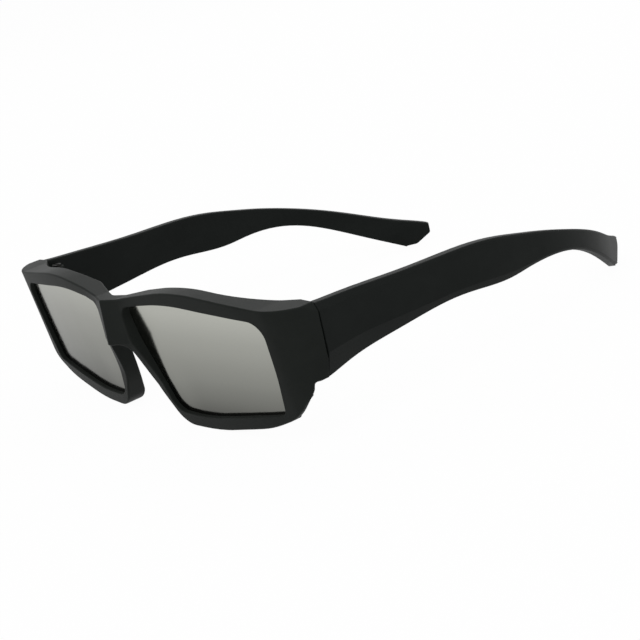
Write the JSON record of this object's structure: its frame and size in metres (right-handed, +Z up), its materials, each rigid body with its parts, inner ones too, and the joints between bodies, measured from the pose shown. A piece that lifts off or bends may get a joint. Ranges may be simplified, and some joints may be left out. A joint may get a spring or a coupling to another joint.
{
  "type": "eclipse glasses",
  "caption": "Wraparound plastic solar viewing glasses with silver reflecting filters and folding temples on screw hinges.",
  "frame": {"origin": "on the surface that the open glasses stand on, below the middle of their box", "axes": "+X towards the wearer's left, +Y back along the temples, +Z up"},
  "size_m": [0.146, 0.1524, 0.0402],
  "materials": {
    "frame_plastic": "satin black, fine moulded grain",
    "temple_plastic": "satin black, fine moulded grain",
    "bezel_plastic": "matte black",
    "lens_panel": "nearly opaque dark sheet",
    "filter_film": "silver reflecting film",
    "screw_steel": "turned steel"
  },
  "bodies": {
    "front_assembly": {"front_frame": "frame_plastic", "left_filter_film": "filter_film", "left_lens_panel": "lens_panel", "left_lens_bezel": "bezel_plastic", "left_hinge_screw": "screw_steel", "right_filter_film": "filter_film", "right_lens_panel": "lens_panel", "right_lens_bezel": "bezel_plastic", "right_hinge_screw": "screw_steel"},
    "left_temple_arm": {"left_temple": "temple_plastic"},
    "right_temple_arm": {"right_temple": "temple_plastic"}
  },
  "joints": [
    {"name": "left_temple_fold", "type": "hinge", "parent": "front_assembly", "child": "left_temple_arm", "pos_m": [0.066, -0.05389, 0.0268], "axis": [0, 0, 1], "range_deg": [0, 80]},
    {"name": "right_temple_fold", "type": "hinge", "parent": "front_assembly", "child": "right_temple_arm", "pos_m": [-0.066, -0.05389, 0.0268], "axis": [0, 0, -1], "range_deg": [0, 64]}
  ]
}
